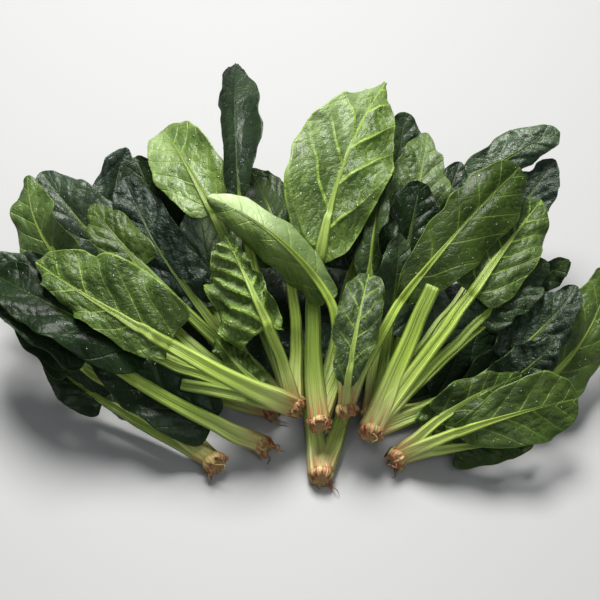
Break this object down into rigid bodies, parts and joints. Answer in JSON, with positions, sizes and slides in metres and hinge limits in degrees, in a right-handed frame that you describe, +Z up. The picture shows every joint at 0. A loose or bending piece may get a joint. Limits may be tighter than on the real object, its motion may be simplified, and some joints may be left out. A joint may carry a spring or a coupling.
{
  "type": "spinach bunch",
  "caption": "Heaped bunch of whole spinach plants, roots together at the front and crinkled green blades fanned out behind on long pale stalks.",
  "frame": {"origin": "on the surface that the bunch lies on, at the flat spot under the foremost root", "axes": "+Z up, +Y from the roots towards the back of the fan of blades, +X to the right seen from the roots"},
  "size_m": [0.4471, 0.3024, 0.1446],
  "materials": {
    "blade": "satin",
    "stalk": "satin"
  },
  "bodies": {
    "root": {"far_left_blade_1": "blade", "far_left_blade_2": "blade", "far_left_blade_3": "blade", "far_left_stalks": "stalk", "front_blade_1": "blade", "front_blade_2": "blade", "front_stalks": "stalk", "left_blade_1": "blade", "left_blade_2": "blade", "left_stalks": "stalk", "mid_left_blade_1": "blade", "mid_left_blade_2": "blade", "mid_left_blade_3": "blade", "mid_left_blade_4": "blade", "mid_left_blade_5": "blade", "mid_left_blade_6": "blade", "mid_left_blade_7": "blade", "mid_left_blade_8": "blade", "mid_left_blade_9": "blade", "mid_left_stalks": "stalk", "mid_right_blade_1": "blade", "mid_right_blade_2": "blade", "mid_right_blade_3": "blade", "mid_right_stalks": "stalk", "middle_blade_1": "blade", "middle_blade_2": "blade", "middle_blade_3": "blade", "middle_stalks": "stalk", "right_blade_1": "blade", "right_blade_2": "blade", "right_blade_3": "blade", "right_blade_4": "blade", "right_blade_5": "blade", "right_blade_6": "blade", "right_blade_7": "blade", "right_stalks": "stalk", "under_left_blade_1": "blade", "under_left_blade_2": "blade", "under_left_blade_3": "blade", "under_left_blade_4": "blade", "under_left_blade_5": "blade", "under_left_blade_6": "blade", "under_left_blade_7": "blade", "under_left_blade_8": "blade", "under_left_stalks": "stalk", "under_right_blade_1": "blade", "under_right_blade_2": "blade", "under_right_blade_3": "blade", "under_right_blade_4": "blade", "under_right_blade_5": "blade", "under_right_blade_6": "blade", "under_right_blade_7": "blade", "under_right_blade_8": "blade", "under_right_stalks": "stalk", "upper_right_blade_1": "blade", "upper_right_blade_2": "blade", "upper_right_blade_3": "blade", "upper_right_blade_4": "blade", "upper_right_blade_5": "blade", "upper_right_stalks": "stalk"}
  },
  "joints": []
}
